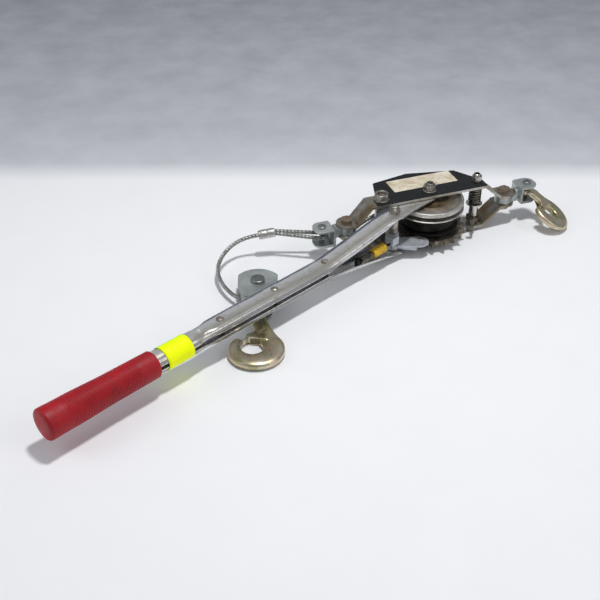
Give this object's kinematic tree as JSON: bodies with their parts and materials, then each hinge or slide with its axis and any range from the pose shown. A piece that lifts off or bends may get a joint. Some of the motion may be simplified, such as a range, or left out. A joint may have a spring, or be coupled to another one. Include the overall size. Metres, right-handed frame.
{
  "type": "come_along_winch",
  "caption": "Hand ratchet winch with a strap-steel frame, toothed cable drum, swinging lever with a soft grip, pawls, swivelling anchor hook, and a snatch block with hook on a looped wire rope",
  "frame": {"origin": "under the head of the drum's axle, on the surface that the winch lies on", "axes": "+X along the frame towards the anchor hook, +Z along the drum's axle, away from the surface"},
  "size_m": [0.6819, 0.284, 0.074],
  "materials": {
    "zinc_plate": "dull grey zinc with brown patina",
    "bright_zinc": "bright zinc-plated steel, lightly worn",
    "grey_zinc": "grey-green zinc plate",
    "gold_zinc": "yellow zinc plate, satin",
    "chrome": "bright nickel chrome, scuffed",
    "black_plate": "satin black paint",
    "label": "worn cream label",
    "dark_steel": "dark greasy steel",
    "drum_steel": "dull steel, greasy",
    "rope_steel": "galvanised twisted wire",
    "ferrule_alu": "swaged aluminium, satin",
    "red_grip": "soft red vinyl, satin",
    "yellow_film": "glossy film",
    "yellow_plastic": "moulded, matt",
    "rusty_steel": "rust-brown bolt steel"
  },
  "bodies": {
    "frame": {"top_strap": "zinc_plate", "bottom_strap": "zinc_plate", "guard_plate": "black_plate", "label_plate": "label", "drum_axle": "bright_zinc", "axle_nut": "bright_zinc", "frame_bolt": "bright_zinc", "frame_nut": "bright_zinc", "frame_spacer": "grey_zinc", "pivot_bolt": "bright_zinc", "pivot_nut": "bright_zinc", "pivot_sleeve": "bright_zinc", "spring_seat": "bright_zinc", "holding_spring": "dark_steel", "end_bolts": "rusty_steel", "end_nuts": "rusty_steel", "cable_eye": "grey_zinc", "cable_clevis": "grey_zinc", "cable_pin": "grey_zinc", "rope_eye": "rope_steel", "ferrule": "ferrule_alu", "wire_rope": "rope_steel", "block_cheek_lower": "grey_zinc", "block_cheek_upper": "grey_zinc", "sheave_pin": "grey_zinc", "hook_pin": "grey_zinc", "block_keepers": "grey_zinc"},
    "drum": {"ratchet_wheel": "drum_steel", "lower_flange": "drum_steel", "drum_core": "drum_steel", "wound_rope": "rope_steel", "upper_flange": "drum_steel", "drum_cap": "drum_steel", "drum_bush": "dark_steel"},
    "handle": {"handle_lower_shell": "chrome", "handle_upper_shell": "chrome", "handle_rivets": "bright_zinc", "rivet_spacers": "grey_zinc", "grip": "red_grip", "sticker": "yellow_film", "drive_pin": "bright_zinc", "drive_nut": "bright_zinc", "drive_sleeve": "grey_zinc", "spring_rod": "dark_steel", "spring_sleeve": "yellow_plastic", "drive_spring": "dark_steel"},
    "drive_pawl": {"drive_pawl": "bright_zinc", "pawl_rivet": "bright_zinc"},
    "holding_pawl": {"holding_pawl": "bright_zinc"},
    "anchor_eye": {"anchor_eye": "grey_zinc"},
    "anchor_clevis": {"anchor_clevis": "grey_zinc", "anchor_pin": "grey_zinc"},
    "anchor_hook": {"anchor_hook": "gold_zinc", "anchor_latch_pin": "gold_zinc"},
    "anchor_latch": {"anchor_latch": "gold_zinc"},
    "sheave": {"sheave": "grey_zinc"},
    "block_hook": {"block_hook": "gold_zinc", "block_latch_pin": "gold_zinc"},
    "block_latch": {"block_latch": "gold_zinc"}
  },
  "joints": [
    {"name": "handle_swing", "type": "hinge", "parent": "frame", "child": "handle", "pos_m": [0, 0, 0], "axis": [0, 0, 1], "range_deg": [0, 90]},
    {"name": "drum_spin", "type": "hinge", "parent": "frame", "child": "drum", "pos_m": [0, 0, 0], "axis": [0, 0, 1], "continuous": true},
    {"name": "drive_pawl_pivot", "type": "hinge", "parent": "handle", "child": "drive_pawl", "pos_m": [-0.05728, -0.0255, 0], "axis": [0, 0, 1], "range_deg": [0, 14]},
    {"name": "holding_pawl_pivot", "type": "hinge", "parent": "frame", "child": "holding_pawl", "pos_m": [0.0632, 0, 0], "axis": [0, 0, 1], "range_deg": [-14, 10]},
    {"name": "anchor_yaw", "type": "hinge", "parent": "frame", "child": "anchor_eye", "pos_m": [0.104, 0, 0.033], "axis": [0, 0, 1], "range_deg": [-60, 60]},
    {"name": "anchor_swivel", "type": "hinge", "parent": "anchor_eye", "child": "anchor_clevis", "pos_m": [0.124, 0, 0.0365], "axis": [1, 0, 0], "continuous": true},
    {"name": "anchor_hook_pivot", "type": "hinge", "parent": "anchor_clevis", "child": "anchor_hook", "pos_m": [0.1355, 0, 0.0365], "axis": [0, 0, 1], "range_deg": [-20, 140]},
    {"name": "anchor_latch_hinge", "type": "hinge", "parent": "anchor_hook", "child": "anchor_latch", "pos_m": [0.14548, -0.02302, 0.02382], "axis": [0.432, -0.2973, 0.8515], "range_deg": [0, 40], "stiffness_Nm_per_rad": 0.02},
    {"name": "sheave_spin", "type": "hinge", "parent": "frame", "child": "sheave", "pos_m": [-0.234, -0.05, 0], "axis": [0, 0, 1], "continuous": true},
    {"name": "block_hook_pivot", "type": "hinge", "parent": "frame", "child": "block_hook", "pos_m": [-0.24876, -0.09145, 0], "axis": [0, 0, 1], "range_deg": [-20, 30]},
    {"name": "block_latch_hinge", "type": "hinge", "parent": "block_hook", "child": "block_latch", "pos_m": [-0.27079, -0.12964, 0.005], "axis": [0, 0, 1], "range_deg": [0, 40], "stiffness_Nm_per_rad": 0.02}
  ]
}
